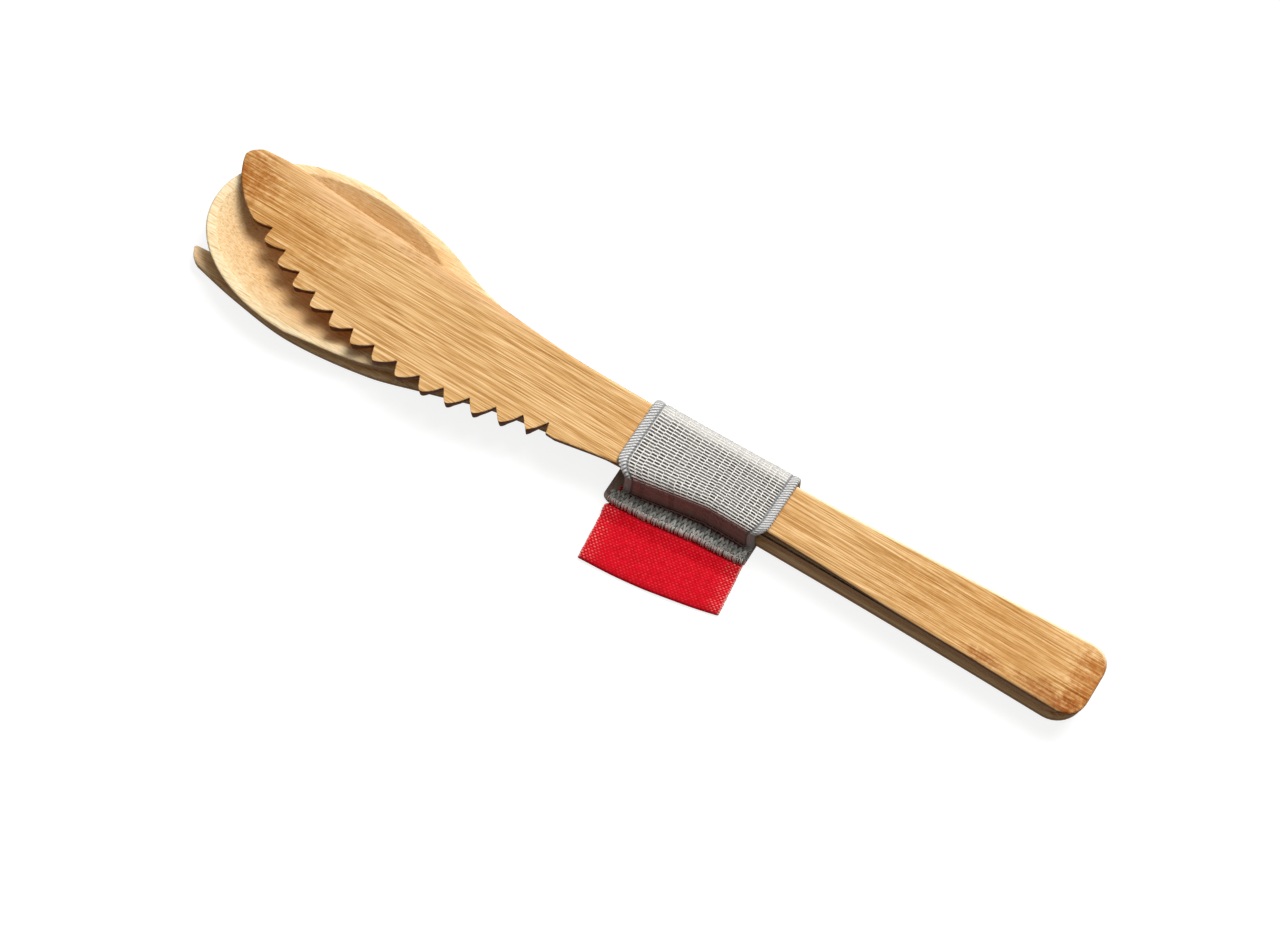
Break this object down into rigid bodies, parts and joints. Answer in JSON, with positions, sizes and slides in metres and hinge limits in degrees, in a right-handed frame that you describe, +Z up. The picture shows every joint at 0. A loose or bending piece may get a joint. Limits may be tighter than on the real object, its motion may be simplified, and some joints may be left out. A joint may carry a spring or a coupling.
{
  "type": "wooden cutlery pack",
  "caption": "Knife, spoon and fork of bamboo stacked handle on handle, held round the handles by a woven elastic band whose sewn fin carries a folded fabric label.",
  "frame": {"origin": "centre of the pack's outer box, on the surface that the pack lies on", "axes": "+X along the pack towards the handle ends, +Y away from the side with the label, +Z up"},
  "size_m": [0.2066, 0.0434, 0.0141],
  "materials": {
    "knife_wood": "satin, sanded bamboo with fine lengthwise fibres",
    "spoon_wood": "satin, paler sanded bamboo with fibre specks in the bowl",
    "fork_wood": "satin, sanded bamboo",
    "elastic": "matt woven elastic, grey marl",
    "label_fabric": "matt woven ribbon, bright red",
    "thread": "matt spun sewing thread, grey"
  },
  "bodies": {
    "root": {"knife": "knife_wood", "spoon": "spoon_wood", "fork": "fork_wood", "elastic_band": "elastic", "fabric_label": "label_fabric", "seam_thread": "thread"}
  },
  "joints": []
}
